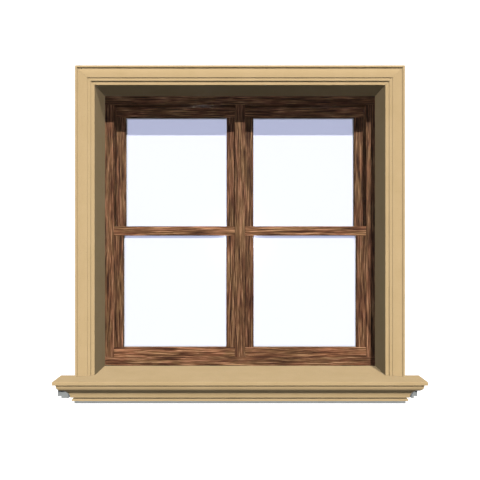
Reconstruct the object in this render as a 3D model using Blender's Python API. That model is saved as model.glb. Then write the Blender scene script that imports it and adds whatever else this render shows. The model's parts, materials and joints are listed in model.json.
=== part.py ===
"""Window surround: a moulded stone architrave and sill round a pair of timber sash windows.

Metres, +Z up, +Y into the wall, X across the opening. The origin is at the middle of
the footprint, on the underside of the bed. The front plane is that of the architrave's
inner band, which is also the front arris of the reveal: projections are measured
forward of it and depths behind it.
"""

import math

import bmesh
import bpy
from mathutils import Matrix, Vector

# Opening, wall and joints
OPENING_WIDTH = 1.200
OPENING_HEIGHT = 1.199
REVEAL_DEPTH = 0.183
WALL_SETBACK = 0.0054
JOINT_GAP = 0.0003

# Architrave: widths run outward from the opening, rises forward of the front plane
INNER_BAND_WIDTH = 0.013
FIRST_STEP_WIDTH = 0.0025
SECOND_BAND_WIDTH = 0.0085
SECOND_BAND_RISE = 0.0072
SECOND_STEP_WIDTH = 0.004
FASCIA_WIDTH = 0.035
FASCIA_RISE = 0.0115
FASCIA_CROWN = 0.0012
OUTER_STEP_WIDTH = 0.005
OUTER_FILLET_WIDTH = 0.008
OUTER_FILLET_RISE = 0.0185
STONE_ARRIS = 0.001

# Sill: its moulding from the top down, each width a step back from the one above
SILL_END_OVERHANG = 0.064
SILL_PROJECTION = 0.113
NOSING_HEIGHT = 0.0136
NOSING_OVERHANG = 0.011
NECK_HEIGHT = 0.0058
OVOLO_WIDTH = 0.0225
OVOLO_HEIGHT = 0.0222
COVE_WIDTH = 0.0225
COVE_HEIGHT = 0.0344
COVE_SAG = 0.006
QUIRK_WIDTH = 0.0125
QUIRK_HEIGHT = 0.0080
BAND_RISE = 0.008
BAND_HEIGHT = 0.0071

# Bed: grey concrete behind the sill, under it as a lip, and beside the cove at its ends
BED_LIP_HEIGHT = 0.0095
BED_LIP_SET_IN = 0.0105
BED_LIP_SETBACK = 0.001
BED_END_PROJECTION = 0.075
BED_END_INSET = 0.0212
BED_END_SHIFT = -0.0098
BED_END_RISE = 0.0032
BED_STEP_WIDTH = 0.0141
BED_STEP_HEIGHT = 0.0080
BED_OVERLAP = 0.020

# Timber frame
FRAME_DEPTH = 0.105
FRAME_JAMB_FACE = 0.039
FRAME_HEAD_FACE = 0.039
FRAME_SILL_FACE = 0.0393
MULLION_WIDTH = 0.045
TIMBER_ARRIS = 0.0012

# Sashes
SASH_THICKNESS = 0.042
SASH_PLANE_SPACING = 0.053
SASH_SIDE_CLEARANCE = 0.0008
OUTER_STILE_WIDTH = 0.042
INNER_STILE_WIDTH = 0.0374
BOTTOM_RAIL_HEIGHT = 0.0425
TOP_RAIL_HEIGHT = 0.0445
MEETING_RAIL_HEIGHT = 0.0412
GUIDE_WIDTH = 0.010
GUIDE_LENGTH = 0.007
GUIDE_CLEARANCE = 0.001
GLASS_THICKNESS = 0.004
GLASS_SETBACK = 0.018
GLASS_EDGE_COVER = 0.008
GLASS_EDGE_CLEARANCE = 0.001

ARC_STEPS = 6
ARRIS_STEPS = 2
ON_PLANE = 1e-6
SAME_WAY = math.radians(2)

# Derived places
HALF_OPENING = OPENING_WIDTH / 2
BACK_DEPTH = REVEAL_DEPTH + FRAME_DEPTH
ARCHITRAVE_WIDTH = (
    INNER_BAND_WIDTH
    + FIRST_STEP_WIDTH
    + SECOND_BAND_WIDTH
    + SECOND_STEP_WIDTH
    + FASCIA_WIDTH
    + OUTER_STEP_WIDTH
    + OUTER_FILLET_WIDTH
)
SILL_HALF_LENGTH = HALF_OPENING + ARCHITRAVE_WIDTH + SILL_END_OVERHANG
FRONT_Y = (SILL_PROJECTION - BACK_DEPTH) / 2
WALL_Y = FRONT_Y + WALL_SETBACK
FRAME_Y = FRONT_Y + REVEAL_DEPTH
BACK_Y = FRONT_Y + BACK_DEPTH
SILL_FRONT_HEIGHT = (
    NOSING_HEIGHT + NECK_HEIGHT + OVOLO_HEIGHT + COVE_HEIGHT + QUIRK_HEIGHT + BAND_HEIGHT
)
SILL_TOP_Z = BED_LIP_HEIGHT + JOINT_GAP + SILL_FRONT_HEIGHT
COVE_HEAD_Z = SILL_TOP_Z - NOSING_HEIGHT - NECK_HEIGHT - OVOLO_HEIGHT
COVE_FOOT_Z = COVE_HEAD_Z - COVE_HEIGHT
BED_TOP_Z = COVE_HEAD_Z - JOINT_GAP
BED_END_FOOT_Z = COVE_FOOT_Z + BED_END_RISE
SOFFIT_Z = SILL_TOP_Z + OPENING_HEIGHT
BAND_PROJECTION = (
    SILL_PROJECTION - NOSING_OVERHANG - OVOLO_WIDTH - COVE_WIDTH - QUIRK_WIDTH + BAND_RISE
)
RUN_ALONG_X = Matrix(((0, 0, 1), (1, 0, 0), (0, 1, 0))).to_euler()
RUN_ALONG_Y = Matrix.Rotation(math.radians(90), 3, "X").to_euler()


def clear_scene():
    for old in list(bpy.data.objects):
        bpy.data.objects.remove(old, do_unlink=True)


def new_collection(name):
    collection = bpy.data.collections.new(name)
    bpy.context.scene.collection.children.link(collection)
    return collection


def new_material(name, colour, roughness, transmission=0.0):
    material = bpy.data.materials.new(name)
    material.use_nodes = True
    shader = material.node_tree.nodes["Principled BSDF"]
    shader.inputs["Base Color"].default_value = (*colour, 1.0)
    shader.inputs["Roughness"].default_value = roughness
    shader.inputs["Metallic"].default_value = 0.0
    shader.inputs["Transmission Weight"].default_value = transmission
    material.diffuse_color = (*colour, 1.0)
    return material


def quarter(start, end, hollow):
    """Points after start of a quarter ellipse to end.

    A hollow one leaves start along the first axis and meets end along the second. A
    round one is the other way about.
    """
    points = []
    for step in range(1, ARC_STEPS + 1):
        angle = math.radians(90) * step / ARC_STEPS
        if hollow:
            along, up = math.sin(angle), 1 - math.cos(angle)
        else:
            along, up = 1 - math.cos(angle), math.sin(angle)
        points.append(
            (start[0] + (end[0] - start[0]) * along, start[1] + (end[1] - start[1]) * up)
        )
    return points


def bowed(start, end, sag):
    """Points after start of a shallow bow to end, sag to the left of its chord."""
    start, end = Vector(start), Vector(end)
    chord = end - start
    left = Vector((-chord.y, chord.x)).normalized()
    points = []
    for step in range(1, ARC_STEPS + 1):
        share = step / ARC_STEPS
        point = start + chord * share + left * sag * 4 * share * (1 - share)
        points.append(tuple(point))
    return points


def eased(outline, corners, radius):
    """The outline with each corner in corners, given by its place in the list, rounded."""
    points = []
    for index, corner in enumerate(outline):
        if index not in corners:
            points.append(corner)
            continue
        here = Vector(corner)
        before = (Vector(outline[index - 1]) - here).normalized()
        after = (Vector(outline[(index + 1) % len(outline)]) - here).normalized()
        half_angle = before.angle(after) / 2
        centre = here + (before + after).normalized() * radius / math.sin(half_angle)
        first = here + before * radius / math.tan(half_angle) - centre
        last = here + after * radius / math.tan(half_angle) - centre
        for step in range(ARRIS_STEPS + 1):
            spoke = first.lerp(last, step / ARRIS_STEPS).normalized()
            points.append(tuple(centre + spoke * radius))
    return points


def add_object(name, data, material, collection, parent=None):
    obj = bpy.data.objects.new(name, data)
    collection.objects.link(obj)
    obj.parent = parent
    data.materials.append(material)
    return obj


def run(name, outline, start, end, material, collection, rotation=None, parent=None):
    """A straight run of one section: the outline, extruded from start to end.

    The outline lies in the run's own XY plane and the run follows its own Z. start and
    end are the places of the outline's zero point at the two ends.
    """
    start, end = Vector(start), Vector(end)
    half = (end - start).length / 2
    bm = bmesh.new()
    near_end = bm.faces.new([bm.verts.new((u, v, -half)) for u, v in outline])
    made = bmesh.ops.extrude_face_region(bm, geom=[near_end])["geom"]
    far_end = [part for part in made if isinstance(part, bmesh.types.BMVert)]
    bmesh.ops.translate(bm, vec=(0, 0, 2 * half), verts=far_end)
    bmesh.ops.recalc_face_normals(bm, faces=bm.faces)
    mesh = bpy.data.meshes.new(name)
    bm.to_mesh(mesh)
    bm.free()
    obj = add_object(name, mesh, material, collection, parent)
    obj.location = (start + end) / 2
    if rotation:
        obj.rotation_euler = rotation
    return obj


def block(name, low, high, material, collection, parent=None):
    """A square-edged box between two corners."""
    low, high = Vector(low), Vector(high)
    bm = bmesh.new()
    bmesh.ops.create_cube(bm, size=1.0)
    bmesh.ops.scale(bm, vec=high - low, verts=bm.verts)
    mesh = bpy.data.meshes.new(name)
    bm.to_mesh(mesh)
    bm.free()
    obj = add_object(name, mesh, material, collection, parent)
    obj.location = (low + high) / 2
    return obj


def extend(mesh, low, high, facing, distance):
    """Carries part of a flat face on along its normal, as a step in one solid.

    low and high are the corners of a box round the part, None where it has no bound, and
    facing is the way the face looks.
    """
    facing = Vector(facing)
    bm = bmesh.new()
    bm.from_mesh(mesh)
    for corner in (low, high):
        for axis, bound in zip(Matrix.Identity(3), corner):
            if bound is None:
                continue
            everything = bm.verts[:] + bm.edges[:] + bm.faces[:]
            bmesh.ops.bisect_plane(
                bm, geom=everything, dist=ON_PLANE, plane_co=axis * bound, plane_no=axis
            )
    chosen = []
    for face in bm.faces:
        middle = face.calc_center_median()
        above_low = all(b is None or place > b for place, b in zip(middle, low))
        below_high = all(b is None or place < b for place, b in zip(middle, high))
        if above_low and below_high and face.normal.angle(facing, math.pi) < SAME_WAY:
            chosen.append(face)
    made = bmesh.ops.extrude_face_region(bm, geom=chosen)["geom"]
    moved = [part for part in made if isinstance(part, bmesh.types.BMVert)]
    bmesh.ops.translate(bm, vec=facing * distance, verts=moved)
    bmesh.ops.delete(bm, geom=chosen, context="FACES")
    bmesh.ops.recalc_face_normals(bm, faces=bm.faces)
    bm.to_mesh(mesh)
    bm.free()


def join(obj, other):
    """Adds the shape of other to obj. other stays as a guide, out of renders."""
    other.hide_render = True
    other.display_type = "WIRE"
    union = obj.modifiers.new(other.name, "BOOLEAN")
    union.operation = "UNION"
    union.solver = "EXACT"
    union.object = other


def mitre(mesh, outward, near_end=True):
    """Slants a run's ends at 45 degrees: each end point moves on by its outward distance."""
    for vertex in mesh.vertices:
        if vertex.co.z > 0:
            vertex.co.z += outward(vertex.co)
        elif near_end:
            vertex.co.z -= outward(vertex.co)


def architrave_section():
    """Outline of a head or jamb stone, as (outward from the opening, behind the front plane)."""
    first_step = INNER_BAND_WIDTH
    second_band = first_step + FIRST_STEP_WIDTH
    second_step = second_band + SECOND_BAND_WIDTH
    fascia = second_step + SECOND_STEP_WIDTH
    outer_step = fascia + FASCIA_WIDTH
    outer_fillet = outer_step + OUTER_STEP_WIDTH
    edge = ARCHITRAVE_WIDTH
    outline = [(0, BACK_DEPTH), (0, 0), (first_step, 0)]
    outline += quarter(outline[-1], (second_band, -SECOND_BAND_RISE), hollow=True)
    outline.append((second_step, -SECOND_BAND_RISE))
    outline += quarter(outline[-1], (fascia, -FASCIA_RISE), hollow=True)
    outline += bowed(outline[-1], (outer_step, -FASCIA_RISE), -FASCIA_CROWN)
    outline += quarter(outline[-1], (outer_fillet, -OUTER_FILLET_RISE), hollow=True)
    outline += [(edge, -OUTER_FILLET_RISE), (edge, BACK_DEPTH)]
    last = len(outline) - 1
    return eased(outline, (1, last - 2, last - 1), STONE_ARRIS)


def build_architrave(stone, collection):
    """Head and two jambs, mitred where they meet, standing on the sill."""
    section = architrave_section()
    head = run(
        "surround_head",
        [(behind, outward) for outward, behind in section],
        (-HALF_OPENING, FRONT_Y, SOFFIT_Z),
        (HALF_OPENING, FRONT_Y, SOFFIT_Z),
        stone,
        collection,
        rotation=RUN_ALONG_X,
    )
    mitre(head.data, outward=lambda point: point.y)
    jamb_bottom = SILL_TOP_Z + JOINT_GAP
    jamb_top = SOFFIT_Z - JOINT_GAP * math.sqrt(2)
    for side, word in ((-1, "left"), (1, "right")):
        jamb = run(
            f"surround_jamb_{word}",
            [(side * outward, behind) for outward, behind in section],
            (side * HALF_OPENING, FRONT_Y, jamb_bottom),
            (side * HALF_OPENING, FRONT_Y, jamb_top),
            stone,
            collection,
        )
        mitre(jamb.data, outward=lambda point: abs(point.x), near_end=False)


def cove():
    """The hollow under the sill's ovolo, from its head down, as (projection, drop)."""
    projection = SILL_PROJECTION - NOSING_OVERHANG - OVOLO_WIDTH
    head = (projection, SILL_TOP_Z - COVE_HEAD_Z)
    foot = (projection - COVE_WIDTH, SILL_TOP_Z - COVE_FOOT_Z)
    return [head] + bowed(head, foot, COVE_SAG)


def sill_profile():
    """The sill's front, from its top down, as (projection, drop below the top)."""
    profile = [(0, 0), (SILL_PROJECTION, 0), (SILL_PROJECTION, NOSING_HEIGHT)]
    neck = SILL_PROJECTION - NOSING_OVERHANG
    profile.append((neck, NOSING_HEIGHT))
    profile.append((neck, NOSING_HEIGHT + NECK_HEIGHT))
    hollow = cove()
    profile += quarter(profile[-1], hollow[0], hollow=False)
    profile += hollow[1:]
    across, drop = profile[-1]
    profile.append((across - QUIRK_WIDTH, drop))
    profile.append((across - QUIRK_WIDTH, drop + QUIRK_HEIGHT))
    profile.append((BAND_PROJECTION, drop + QUIRK_HEIGHT))
    profile.append((BAND_PROJECTION, SILL_FRONT_HEIGHT))
    return eased(profile, (1, 2), STONE_ARRIS)[1:]


def sill_end(projection):
    """Half the sill's length at one projection, as the front is returned at each end."""
    return SILL_HALF_LENGTH - (SILL_PROJECTION - projection)


def build_sill(stone, collection):
    """The moulded front with its ends returned to the wall, and the plain tail behind."""
    back = WALL_Y - JOINT_GAP
    bm = bmesh.new()
    rings = []
    for projection, drop in sill_profile():
        half = sill_end(projection)
        front = FRONT_Y - projection
        corners = ((-half, back), (-half, front), (half, front), (half, back))
        rings.append([bm.verts.new((x, y, SILL_TOP_Z - drop)) for x, y in corners])
    for upper, lower in zip(rings, rings[1:]):
        for corner in range(3):
            following = corner + 1
            bm.faces.new((upper[corner], upper[following], lower[following], lower[corner]))
    left_end = [ring[0] for ring in rings]
    right_end = [ring[-1] for ring in rings]
    bm.faces.new(left_end + right_end[::-1])
    bm.faces.new(rings[0])
    bm.faces.new(rings[-1])
    bmesh.ops.recalc_face_normals(bm, faces=bm.faces)
    mesh = bpy.data.meshes.new("sill")
    bm.to_mesh(mesh)
    bm.free()
    add_object("sill", mesh, stone, collection)
    tail_half = HALF_OPENING + ARCHITRAVE_WIDTH
    extend(
        mesh,
        low=(-tail_half, None, COVE_HEAD_Z),
        high=(tail_half, None, None),
        facing=(0, 1, 0),
        distance=BACK_Y - back,
    )


def bed_steps(side):
    """The stepped outer edge of the bed at one end, from its foot up, as (x, z)."""
    outer = side * (SILL_HALF_LENGTH - BED_END_INSET) + BED_END_SHIFT
    inner = outer - side * BED_STEP_WIDTH
    step = BED_END_FOOT_Z + BED_STEP_HEIGHT
    return [(inner, BED_END_FOOT_Z), (inner, step), (outer, step), (outer, BED_TOP_Z)]


def bed_hollow(side):
    """The bed's inner edge at one end, down beside the cove's return, as (x, z)."""
    points = []
    for projection, drop in cove():
        x = side * (sill_end(projection) + JOINT_GAP)
        z = min(SILL_TOP_Z - drop, BED_TOP_Z)
        if z < BED_END_FOOT_Z:
            last_x, last_z = points[-1]
            share = (last_z - BED_END_FOOT_Z) / (last_z - z)
            points.append((last_x + (x - last_x) * share, BED_END_FOOT_Z))
            break
        points.append((x, z))
    return points


def build_bed(concrete, collection, helpers):
    """One block: a slab behind the wall face, joined to the lip and to an end on either side."""
    lip_half = sill_end(BAND_PROJECTION) - BED_LIP_SET_IN
    right = [(lip_half, 0), (lip_half, BED_END_FOOT_Z)] + bed_steps(1)
    left = [(-lip_half, 0), (-lip_half, BED_END_FOOT_Z)] + bed_steps(-1)
    slab = run(
        "sill_bed",
        right + left[::-1],
        (0, WALL_Y, 0),
        (0, BACK_Y, 0),
        concrete,
        collection,
        rotation=RUN_ALONG_Y,
    )
    lip = [(-lip_half, 0), (lip_half, 0), (lip_half, BED_LIP_HEIGHT), (-lip_half, BED_LIP_HEIGHT)]
    for name, outline, projection in (
        ("bed_lip", lip, BAND_PROJECTION - BED_LIP_SETBACK),
        ("bed_end_left", bed_steps(-1) + bed_hollow(-1), BED_END_PROJECTION),
        ("bed_end_right", bed_steps(1) + bed_hollow(1), BED_END_PROJECTION),
    ):
        other = run(
            name,
            outline,
            (0, FRONT_Y - projection, 0),
            (0, WALL_Y + BED_OVERLAP, 0),
            concrete,
            helpers,
            rotation=RUN_ALONG_Y,
        )
        join(slab, other)


def guide_places():
    """Depth of each sash guide's centre behind the face of the frame, lower sash first."""
    return (SASH_THICKNESS / 2, SASH_PLANE_SPACING + SASH_THICKNESS / 2)


def running_face():
    """The grooved face a sash runs against, front to back, as (inset, behind the face)."""
    half_width = GUIDE_WIDTH / 2 + GUIDE_CLEARANCE
    depth = GUIDE_LENGTH - SASH_SIDE_CLEARANCE + GUIDE_CLEARANCE
    points = [(0, 0)]
    for centre in guide_places():
        points += [
            (0, centre - half_width),
            (depth, centre - half_width),
            (depth, centre + half_width),
            (0, centre + half_width),
        ]
    points.append((0, FRAME_DEPTH))
    return points


def build_frame(timber, collection):
    """Head and sill rail from reveal to reveal, with the jambs and mullion between them."""
    half = HALF_OPENING - JOINT_GAP
    sill_bottom = SILL_TOP_Z + JOINT_GAP
    sill_top = SILL_TOP_Z + FRAME_SILL_FACE
    head_bottom = SOFFIT_Z - FRAME_HEAD_FACE
    head_top = SOFFIT_Z - JOINT_GAP
    for name, bottom, top in (
        ("frame_sill_rail", sill_bottom, sill_top),
        ("frame_head", head_bottom, head_top),
    ):
        outline = [(0, bottom), (FRAME_DEPTH, bottom), (FRAME_DEPTH, top), (0, top)]
        run(
            name,
            eased(outline, (0, 3), TIMBER_ARRIS),
            (-half, FRAME_Y, 0),
            (half, FRAME_Y, 0),
            timber,
            collection,
            rotation=RUN_ALONG_X,
        )
    bottom, top = sill_top + JOINT_GAP, head_bottom - JOINT_GAP
    face_width = FRAME_JAMB_FACE - JOINT_GAP
    for side, word in ((-1, "left"), (1, "right")):
        outline = [(side * inset, behind) for inset, behind in running_face()]
        outline += [(side * face_width, FRAME_DEPTH), (side * face_width, 0)]
        inner_face = side * (HALF_OPENING - FRAME_JAMB_FACE)
        run(
            f"frame_jamb_{word}",
            eased(outline, (0, len(outline) - 1), TIMBER_ARRIS),
            (inner_face, FRAME_Y, bottom),
            (inner_face, FRAME_Y, top),
            timber,
            collection,
        )
    half_mullion = MULLION_WIDTH / 2
    outline = [(inset - half_mullion, behind) for inset, behind in running_face()]
    outline += [(-x, behind) for x, behind in reversed(outline)]
    run(
        "frame_mullion",
        eased(outline, (0, len(outline) - 1), TIMBER_ARRIS),
        (0, FRAME_Y, bottom),
        (0, FRAME_Y, top),
        timber,
        collection,
    )


def sash_section(width, guided):
    """Outline of a sash member, as (outward from the glass, behind the sash's face)."""
    groove = GLASS_EDGE_COVER + GLASS_EDGE_CLEARANCE
    groove_front = GLASS_SETBACK - JOINT_GAP
    groove_back = GLASS_SETBACK + GLASS_THICKNESS + JOINT_GAP
    outline = [
        (0, 0),
        (0, groove_front),
        (groove, groove_front),
        (groove, groove_back),
        (0, groove_back),
        (0, SASH_THICKNESS),
        (width, SASH_THICKNESS),
    ]
    if guided:
        centre = SASH_THICKNESS / 2
        outline += [
            (width, centre + GUIDE_WIDTH / 2),
            (width + GUIDE_LENGTH, centre + GUIDE_WIDTH / 2),
            (width + GUIDE_LENGTH, centre - GUIDE_WIDTH / 2),
            (width, centre - GUIDE_WIDTH / 2),
        ]
    outline.append((width, 0))
    return eased(outline, (0, len(outline) - 1), TIMBER_ARRIS)


def add_end_guides(mesh):
    """A tongue on each end of a rail, in line with the stiles' own."""
    centre = SASH_THICKNESS / 2
    half_width = GUIDE_WIDTH / 2
    for end in (-1, 1):
        extend(
            mesh,
            low=(centre - half_width, None, None),
            high=(centre + half_width, None, None),
            facing=(0, 0, end),
            distance=GUIDE_LENGTH,
        )


def build_sash(name, side, place, height, bottom_rail, top_rail, timber, glass, collection):
    """One sash on its own empty, at the middle of its bottom edge in the plane of its face.

    side is -1 in the left bay and 1 in the right, where the outer stile is.
    """
    empty = bpy.data.objects.new(name, None)
    empty.location = place
    collection.objects.link(empty)
    width = bay_width() - 2 * SASH_SIDE_CLEARANCE
    for word, rail_height, glass_edge, up in (
        ("bottom_rail", bottom_rail, bottom_rail, -1),
        ("top_rail", top_rail, height - top_rail, 1),
    ):
        rail = run(
            f"{name}_{word}",
            [(behind, glass_edge + up * outward) for outward, behind in sash_section(rail_height, False)],
            (-width / 2, 0, 0),
            (width / 2, 0, 0),
            timber,
            collection,
            rotation=RUN_ALONG_X,
            parent=empty,
        )
        add_end_guides(rail.data)
    low, high = bottom_rail + JOINT_GAP, height - top_rail - JOINT_GAP
    glass_sides = {}
    for word, stile_width, towards in (
        ("outer_stile", OUTER_STILE_WIDTH, side),
        ("inner_stile", INNER_STILE_WIDTH, -side),
    ):
        glass_edge = towards * (width / 2 - stile_width)
        glass_sides[towards] = glass_edge
        run(
            f"{name}_{word}",
            [(towards * outward, behind) for outward, behind in sash_section(stile_width, True)],
            (glass_edge, 0, low),
            (glass_edge, 0, high),
            timber,
            collection,
            parent=empty,
        )
    block(
        f"{name}_glass",
        (glass_sides[-1] - GLASS_EDGE_COVER, GLASS_SETBACK, bottom_rail - GLASS_EDGE_COVER),
        (
            glass_sides[1] + GLASS_EDGE_COVER,
            GLASS_SETBACK + GLASS_THICKNESS,
            height - top_rail + GLASS_EDGE_COVER,
        ),
        glass,
        collection,
        parent=empty,
    )


def bay_width():
    return HALF_OPENING - FRAME_JAMB_FACE - MULLION_WIDTH / 2


def build_sashes(timber, glass, collection):
    """A lower and an upper sash in each bay, meeting at rails of one height."""
    sill_top = SILL_TOP_Z + FRAME_SILL_FACE
    head_bottom = SOFFIT_Z - FRAME_HEAD_FACE
    height = (head_bottom - sill_top + MEETING_RAIL_HEIGHT) / 2 - JOINT_GAP
    for side, word in ((-1, "left"), (1, "right")):
        middle = side * (MULLION_WIDTH + bay_width()) / 2
        build_sash(
            f"lower_sash_{word}",
            side,
            (middle, FRAME_Y, sill_top + JOINT_GAP),
            height,
            BOTTOM_RAIL_HEIGHT,
            MEETING_RAIL_HEIGHT,
            timber,
            glass,
            collection,
        )
        build_sash(
            f"upper_sash_{word}",
            side,
            (middle, FRAME_Y + SASH_PLANE_SPACING, head_bottom - JOINT_GAP - height),
            height,
            MEETING_RAIL_HEIGHT,
            TOP_RAIL_HEIGHT,
            timber,
            glass,
            collection,
        )


def main():
    clear_scene()
    collection = new_collection("Window surround")
    helpers = new_collection("Window surround helpers")
    stone = new_material("Buff stone", (0.62, 0.47, 0.27), 0.85)
    concrete = new_material("Grey concrete", (0.29, 0.30, 0.29), 0.9)
    timber = new_material("Brown timber", (0.20, 0.10, 0.05), 0.6)
    glass = new_material("Window glass", (0.80, 0.83, 0.92), 0.03, transmission=1.0)
    build_architrave(stone, collection)
    build_sill(stone, collection)
    build_bed(concrete, collection, helpers)
    build_frame(timber, collection)
    build_sashes(timber, glass, collection)


main()
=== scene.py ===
import json
import math

import bmesh
import bpy
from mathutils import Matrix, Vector

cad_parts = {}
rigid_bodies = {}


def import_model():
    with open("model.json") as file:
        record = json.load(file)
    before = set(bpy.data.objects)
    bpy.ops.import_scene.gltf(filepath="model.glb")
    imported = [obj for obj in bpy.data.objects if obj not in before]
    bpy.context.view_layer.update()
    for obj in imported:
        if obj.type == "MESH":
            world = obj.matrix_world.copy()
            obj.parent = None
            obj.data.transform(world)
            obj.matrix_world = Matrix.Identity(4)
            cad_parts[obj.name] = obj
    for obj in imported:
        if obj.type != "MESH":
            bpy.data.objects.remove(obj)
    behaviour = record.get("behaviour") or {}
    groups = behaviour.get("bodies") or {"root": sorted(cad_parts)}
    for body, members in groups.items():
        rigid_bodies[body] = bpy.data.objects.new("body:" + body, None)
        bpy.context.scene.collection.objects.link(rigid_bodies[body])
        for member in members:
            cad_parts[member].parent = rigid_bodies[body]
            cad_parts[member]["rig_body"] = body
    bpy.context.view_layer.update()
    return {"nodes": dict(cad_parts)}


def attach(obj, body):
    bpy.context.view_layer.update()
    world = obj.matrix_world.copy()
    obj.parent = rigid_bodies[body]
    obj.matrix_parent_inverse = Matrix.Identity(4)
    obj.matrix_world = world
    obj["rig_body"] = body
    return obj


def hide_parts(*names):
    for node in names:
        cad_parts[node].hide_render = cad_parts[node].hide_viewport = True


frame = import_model()

# Camera: level and square to the window, as in the photograph
LENS_MM = 43.455
SENSOR_MM = 36.0
CAMERA_PLACE = (0.0, -2.4785, 0.6593)
CAMERA_SHIFT = 0.2 / 480  # share of the picture's width

# Key light, as the head's and right jamb's shadows place it
KEY_ELEVATION = math.radians(32.4)
KEY_AZIMUTH = math.radians(6.3)
KEY_STRENGTH = 3.28
KEY_WIDTH = math.radians(0.9)

# Fill lights, which cast no shadow: the side each comes from, and its strength
FILLS = {
    "fill from the front": ((0, -1, 0), 0.50),
    "fill from the right": ((1, 0, 0), 0.50),
    "fill from the left": ((-1, 0, 0), 0.53),
    "fill from above": ((0, 0, 1), 1.42),
    "fill from below": ((0, 0, -1), 0.20),
    "fill from behind": ((0, 1, 0), 1.6),
}
FILL_COLOUR = (1.0, 1.04, 1.14)
LAMP_DISTANCE = 4.0

# Surroundings: the sky fades into the ground over a band round the horizon
SKY_COLOUR = (0.06, 0.07, 0.085)
GROUND_COLOUR = (0.015, 0.018, 0.022)
HORIZON_HALF_BAND = 0.25
BACKDROP_STRENGTH = 1.4
FLOOR_RADIUS = 9.0
BACKDROP_RADIUS = 10.0

# Dressing of the solids: faces within FLAT_ANGLE are joined, corners past CORNER_ANGLE eased
STONE_ARRIS = 0.0005
TIMBER_ARRIS = 0.0004
GLASS_ARRIS = 0.0003
ARRIS_SEGMENTS = 2
WELD = 1e-6
FLAT_ANGLE = math.radians(0.2)
CORNER_ANGLE = math.radians(50)
SMOOTH_ANGLE = math.radians(50)

# Stone: how light each one is
STONE_TONES = {
    "surround_head": 1.07,
    "surround_jamb_left": 1.0,
    "surround_jamb_right": 1.0,
    "sill": 0.955,
}

# Timber: which pieces have level grain or stand on the right, and how light each kind is; the
# right-hand uprights are darkened all over as painted shade, standing in for the right jamb's shadow
# on them
LEVEL_NODES = ("frame_head", "frame_sill_rail")
RAIL_SUFFIX = "_rail"
PAINTED_SHADE_ENDINGS = ("right_inner_stile", "right_outer_stile", "jamb_right")
UPRIGHT_TONE = 1.0
# Painted shade: the right-hand uprights are made darker in colour, in place of the right jamb's
# shadow
RIGHT_PAINTED_SHADE_TONE = 0.92
LEVEL_TONE = 1.12
RAIL_TONE = 1.45
GRAIN_SHIFT = 40.0  # the most that a piece's own random number moves its grain
PORE_SHARE = 0.8

# Glass: the share of film on the edges and back, and on the outer face, where it is weathered
GLASS_SUFFIX = "_glass"
CLEAR_FILM = 0.02
CLEAR_TINT = (0.98, 0.98, 1.0)
FACE_FILM = 0.61
FACE_TINT = (0.66, 0.705, 1.0)
OUTWARD = -0.99  # a face looks outward where its normal's Y is below this


def add_node(tree, kind, **settings):
    node = tree.nodes.new(kind)
    for name, value in settings.items():
        if name in node.inputs:
            node.inputs[name].default_value = value
        else:
            setattr(node, name, value)
    return node


def new_material(name):
    material = bpy.data.materials.new(name)
    material.use_nodes = True
    return material, material.node_tree, material.node_tree.nodes["Principled BSDF"]


def place_node(tree, stretch):
    """Coordinates fixed to the piece, in metres, scaled by stretch along X, Y and Z."""
    coordinates = add_node(tree, "ShaderNodeTexCoord")
    mapping = add_node(tree, "ShaderNodeMapping")
    mapping.inputs["Scale"].default_value = stretch
    tree.links.new(coordinates.outputs["Object"], mapping.inputs["Vector"])
    return mapping.outputs["Vector"]


def noise_node(tree, place, **settings):
    node = add_node(tree, "ShaderNodeTexNoise", **settings)
    tree.links.new(place, node.inputs["Vector"])
    return node.outputs["Fac"]


def ramp_node(tree, factor, *stops):
    """A colour ramp through (position, colour) stops."""
    node = add_node(tree, "ShaderNodeValToRGB")
    elements = node.color_ramp.elements
    while len(elements) < len(stops):
        elements.new(0.5)
    for element, (position, colour) in zip(elements, stops):
        element.position = position
        element.color = (*colour, 1.0)
    tree.links.new(factor, node.inputs["Fac"])
    return node.outputs["Color"]


def multiply_node(tree, colour, shade, share=1.0):
    """The colour darkened or lightened by shade, to the given share."""
    node = add_node(tree, "ShaderNodeMix", data_type="RGBA", blend_type="MULTIPLY")
    node.inputs["Factor"].default_value = share
    tree.links.new(colour, node.inputs[6])
    tree.links.new(shade, node.inputs[7])
    return node.outputs[2]


def bump_node(tree, height, distance, strength, before=None):
    node = add_node(tree, "ShaderNodeBump", Distance=distance, Strength=strength)
    tree.links.new(height, node.inputs["Height"])
    if before:
        tree.links.new(before, node.inputs["Normal"])
    return node.outputs["Normal"]


def tinted(colour, tone):
    """The colour, tone times as light."""
    return tuple(channel * tone for channel in colour)


def stone_material(name, tone):
    """Buff cast stone: fine sand, soft cloudy mottling and a few open pits."""
    material, tree, shader = new_material(name)
    place = place_node(tree, (1, 1, 1))
    cloud = noise_node(tree, place, Scale=9.0, Detail=4.0, Roughness=0.6)
    sand = noise_node(tree, place, Scale=700.0, Detail=2.0, Roughness=0.7)
    pits = noise_node(tree, place, Scale=260.0, Detail=1.0)
    colour = ramp_node(
        tree,
        cloud,
        (0.3, tinted((0.596, 0.418, 0.208), tone)),
        (0.7, tinted((0.640, 0.454, 0.234), tone)),
    )
    grain = ramp_node(tree, sand, (0.3, (0.93, 0.925, 0.915)), (0.7, (1.03, 1.03, 1.03)))
    colour = multiply_node(tree, colour, grain)
    specks = ramp_node(tree, pits, (0.24, (0.76, 0.73, 0.69)), (0.30, (1.0, 1.0, 1.0)))
    colour = multiply_node(tree, colour, specks)
    tree.links.new(colour, shader.inputs["Base Color"])
    normal = bump_node(tree, sand, 0.0003, 0.25)
    normal = bump_node(tree, specks, 0.0005, 0.35, before=normal)
    tree.links.new(normal, shader.inputs["Normal"])
    shader.inputs["Roughness"].default_value = 0.88
    shader.inputs["Specular IOR Level"].default_value = 0.25
    return material


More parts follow.
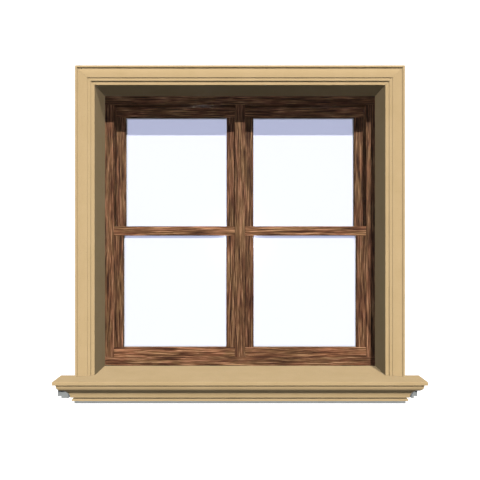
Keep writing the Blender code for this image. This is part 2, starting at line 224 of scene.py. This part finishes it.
def concrete_material():
    """Pale grey concrete: cloudy, with sand grains and small air holes."""
    material, tree, shader = new_material("Pale grey concrete")
    place = place_node(tree, (1, 1, 1))
    cloud = noise_node(tree, place, Scale=14.0, Detail=5.0, Roughness=0.65)
    sand = noise_node(tree, place, Scale=480.0, Detail=3.0, Roughness=0.7)
    holes = noise_node(tree, place, Scale=150.0, Detail=1.0)
    colour = ramp_node(
        tree, cloud, (0.3, (0.29, 0.30, 0.285)), (0.7, (0.345, 0.355, 0.34))
    )
    grain = ramp_node(tree, sand, (0.3, (0.84, 0.84, 0.84)), (0.7, (1.05, 1.05, 1.05)))
    colour = multiply_node(tree, colour, grain)
    dark = ramp_node(tree, holes, (0.22, (0.5, 0.5, 0.5)), (0.28, (1.0, 1.0, 1.0)))
    colour = multiply_node(tree, colour, dark)
    tree.links.new(colour, shader.inputs["Base Color"])
    normal = bump_node(tree, sand, 0.0006, 0.4)
    normal = bump_node(tree, dark, 0.001, 0.6, before=normal)
    tree.links.new(normal, shader.inputs["Normal"])
    shader.inputs["Roughness"].default_value = 0.92
    shader.inputs["Specular IOR Level"].default_value = 0.2
    return material


def timber_material(name, along, tone):
    """Stained timber with its grain along one axis: streaks, growth bands, patches and open pores."""
    material, tree, shader = new_material(name)

    def grain_noise(across, lengthwise, **settings):
        stretch = [across] * 3
        stretch[along] = lengthwise
        place = place_node(tree, stretch)
        return noise_node(tree, place, noise_dimensions="4D", Scale=1.0, **settings)

    streak = grain_noise(235, 9, Detail=3.0, Roughness=0.6, Distortion=0.5)
    band = grain_noise(45, 3, Detail=2.0, Distortion=0.6)
    patch = grain_noise(38, 9, Detail=1.0, Distortion=0.4)
    pore = grain_noise(420, 14, Detail=2.0, Roughness=0.6)
    chance = add_node(tree, "ShaderNodeObjectInfo")
    shift = add_node(tree, "ShaderNodeMath", operation="MULTIPLY")
    tree.links.new(chance.outputs["Random"], shift.inputs[0])
    shift.inputs[1].default_value = GRAIN_SHIFT
    for socket in (streak, band, patch, pore):
        tree.links.new(shift.outputs[0], socket.node.inputs["W"])
    colour = ramp_node(
        tree,
        streak,
        (0.36, tinted((0.026, 0.008, 0.003), tone)),
        (0.45, tinted((0.108, 0.046, 0.020), tone)),
        (0.55, tinted((0.205, 0.095, 0.042), tone)),
        (0.65, tinted((0.47, 0.245, 0.127), tone)),
    )
    growth = ramp_node(
        tree, band, (0.3, (0.76, 0.70, 0.68)), (0.5, (1.0, 1.0, 1.0)), (0.7, (1.17, 1.18, 1.14))
    )
    colour = multiply_node(tree, colour, growth)
    hue = ramp_node(
        tree, patch, (0.36, (1.04, 0.93, 0.95)), (0.5, (1.0, 0.99, 0.99)), (0.64, (0.95, 1.02, 0.95))
    )
    colour = multiply_node(tree, colour, hue)
    pores = ramp_node(tree, pore, (0.34, (0.38, 0.33, 0.30)), (0.47, (1.0, 1.0, 1.0)))
    colour = multiply_node(tree, colour, pores, PORE_SHARE)
    tree.links.new(colour, shader.inputs["Base Color"])
    normal = bump_node(tree, streak, 0.0012, 0.35)
    normal = bump_node(tree, pores, 0.0005, 0.5, before=normal)
    tree.links.new(normal, shader.inputs["Normal"])
    rough = add_node(tree, "ShaderNodeMapRange")
    rough.inputs["To Min"].default_value = 0.72
    rough.inputs["To Max"].default_value = 0.52
    tree.links.new(streak, rough.inputs["Value"])
    tree.links.new(rough.outputs["Result"], shader.inputs["Roughness"])
    shader.inputs["Specular IOR Level"].default_value = 0.15
    return material


def glass_material(name, film_share, tint):
    """Clear sheet glass under a faint film that takes light and shadow."""
    material, tree, shader = new_material(name)
    shader.inputs["Base Color"].default_value = (1.0, 0.99, 1.0, 1.0)
    shader.inputs["Roughness"].default_value = 0.06
    clear = add_node(tree, "ShaderNodeBsdfTransparent")
    clear.inputs["Color"].default_value = (*tint, 1.0)
    film = add_node(tree, "ShaderNodeMixShader")
    film.inputs["Fac"].default_value = film_share
    tree.links.new(clear.outputs["BSDF"], film.inputs[1])
    tree.links.new(shader.outputs["BSDF"], film.inputs[2])
    output = tree.nodes["Material Output"]
    tree.links.new(film.outputs["Shader"], output.inputs["Surface"])
    return material


def plain_material(name, glow):
    """A pale stage surface that gives out all the light it shows."""
    material, _, shader = new_material(name)
    shader.inputs["Base Color"].default_value = (0.0, 0.0, 0.0, 1.0)
    shader.inputs["Roughness"].default_value = 1.0
    shader.inputs["Specular IOR Level"].default_value = 0.0
    shader.inputs["Emission Color"].default_value = (1.0, 1.0, 1.0, 1.0)
    shader.inputs["Emission Strength"].default_value = glow
    return material


def dressed(node, arris, material):
    """The node's solid with clean faces, eased corners and smooth curves, in its place."""
    mesh = frame["nodes"][node].data.copy()
    mesh.name = f"{node}_dressed"
    bm = bmesh.new()
    bm.from_mesh(mesh)
    bmesh.ops.remove_doubles(bm, verts=bm.verts, dist=WELD)
    bmesh.ops.dissolve_limit(bm, angle_limit=FLAT_ANGLE, verts=bm.verts, edges=bm.edges)
    corners = []
    for edge in bm.edges:
        if edge.is_manifold and edge.is_convex and edge.calc_face_angle() > CORNER_ANGLE:
            corners.append(edge)
    bmesh.ops.bevel(
        bm,
        geom=corners,
        offset=arris,
        segments=ARRIS_SEGMENTS,
        profile=0.5,
        affect="EDGES",
        clamp_overlap=True,
    )
    for face in bm.faces:
        face.smooth = True
    for edge in bm.edges:
        edge.smooth = edge.is_manifold and edge.calc_face_angle() < SMOOTH_ANGLE
    bm.to_mesh(mesh)
    bm.free()
    if mesh.has_custom_normals:
        mesh.attributes.remove(mesh.attributes["custom_normal"])
    mesh.materials.clear()
    mesh.materials.append(material)
    piece = bpy.data.objects.new(f"{node}_dressed", mesh)
    bpy.context.scene.collection.objects.link(piece)
    flatten = piece.modifiers.new("flat faces stay flat", "WEIGHTED_NORMAL")
    flatten.keep_sharp = True
    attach(piece, frame["nodes"][node]["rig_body"])
    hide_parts(node)
    return piece


def dress_all():
    concrete = concrete_material()
    upright = timber_material("Brown timber, upright grain", 2, UPRIGHT_TONE)
    # A darker copy of the upright timber for the right-hand uprights: painted shade from the right
    # jamb
    right = timber_material("Brown timber, right-hand uprights, painted shade", 2, RIGHT_PAINTED_SHADE_TONE)
    level = timber_material("Brown timber, level grain", 0, LEVEL_TONE)
    rail = timber_material("Brown timber, sash rails", 0, RAIL_TONE)
    clear = glass_material("Window glass, clear", CLEAR_FILM, CLEAR_TINT)
    filmed = glass_material("Window glass, weathered face", FACE_FILM, FACE_TINT)
    for name in frame["nodes"]:
        if name in STONE_TONES:
            stone = stone_material(f"Buff cast stone, {name}", STONE_TONES[name])
            dressed(name, STONE_ARRIS, stone)
        elif name == "sill_bed":
            dressed(name, STONE_ARRIS, concrete)
        elif name.endswith(GLASS_SUFFIX):
            pane = dressed(name, GLASS_ARRIS, clear)
            pane.data.materials.append(filmed)
            for face in pane.data.polygons:
                if face.normal.y < OUTWARD:
                    face.material_index = 1
        else:
            grain = upright
            if name in LEVEL_NODES:
                grain = level
            elif name.endswith(RAIL_SUFFIX):
                grain = rail
            # The right-hand uprights take the darker copy, which is painted shade
            elif name.endswith(PAINTED_SHADE_ENDINGS):
                grain = right
            dressed(name, TIMBER_ARRIS, grain)


def hide_from_light(obj):
    """The camera and the glass see this stage surface, but it lights and shades nothing."""
    obj.visible_diffuse = False
    obj.visible_glossy = False
    obj.visible_shadow = False


def build_stage():
    bpy.ops.mesh.primitive_circle_add(vertices=96, radius=FLOOR_RADIUS, fill_type="NGON")
    ground = bpy.context.object
    ground.name = "floor"
    ground.data.materials.append(plain_material("Pale floor", BACKDROP_STRENGTH))
    bpy.ops.mesh.primitive_uv_sphere_add(segments=64, ring_count=32, radius=BACKDROP_RADIUS)
    backdrop = bpy.context.object
    backdrop.name = "backdrop"
    backdrop.data.materials.append(plain_material("Pale backdrop", BACKDROP_STRENGTH))
    for surface in (ground, backdrop):
        hide_from_light(surface)


def sun(name, towards, strength):
    """A sun lamp whose light comes from the direction towards, and isn't passed on by surfaces."""
    light = bpy.data.lights.new(name, "SUN")
    light.energy = strength
    light.cycles.max_bounces = 0
    lamp = bpy.data.objects.new(name, light)
    towards = Vector(towards).normalized()
    lamp.rotation_euler = towards.to_track_quat("Z", "Y").to_euler()
    lamp.location = towards * LAMP_DISTANCE
    bpy.context.scene.collection.objects.link(lamp)
    return light


def build_lights():
    level = math.cos(KEY_ELEVATION)
    from_key = (
        level * math.sin(KEY_AZIMUTH), -level * math.cos(KEY_AZIMUTH), math.sin(KEY_ELEVATION)
    )
    sun("key", from_key, KEY_STRENGTH).angle = KEY_WIDTH
    for name, (towards, strength) in FILLS.items():
        fill = sun(name, towards, strength)
        fill.use_shadow = False
        fill.color = FILL_COLOUR
    world = bpy.data.worlds.new("Sky over dark ground")
    world.use_nodes = True
    tree = world.node_tree
    coordinates = add_node(tree, "ShaderNodeTexCoord")
    parts = add_node(tree, "ShaderNodeSeparateXYZ")
    height = add_node(tree, "ShaderNodeMapRange")
    height.inputs["From Min"].default_value = -HORIZON_HALF_BAND
    height.inputs["From Max"].default_value = HORIZON_HALF_BAND
    tree.links.new(coordinates.outputs["Generated"], parts.inputs["Vector"])
    tree.links.new(parts.outputs["Z"], height.inputs["Value"])
    sky = ramp_node(tree, height.outputs["Result"], (0.0, GROUND_COLOUR), (1.0, SKY_COLOUR))
    tree.links.new(sky, tree.nodes["Background"].inputs["Color"])
    bpy.context.scene.world = world


def build_camera():
    camera = bpy.data.cameras.new("camera")
    camera.lens = LENS_MM
    camera.sensor_width = SENSOR_MM
    camera.shift_y = CAMERA_SHIFT
    obj = bpy.data.objects.new("camera", camera)
    obj.location = CAMERA_PLACE
    obj.rotation_euler = (math.radians(90), 0, 0)
    bpy.context.scene.collection.objects.link(obj)
    bpy.context.scene.camera = obj


dress_all()
build_stage()
build_lights()
build_camera()
bpy.context.scene.view_settings.view_transform = "Standard"
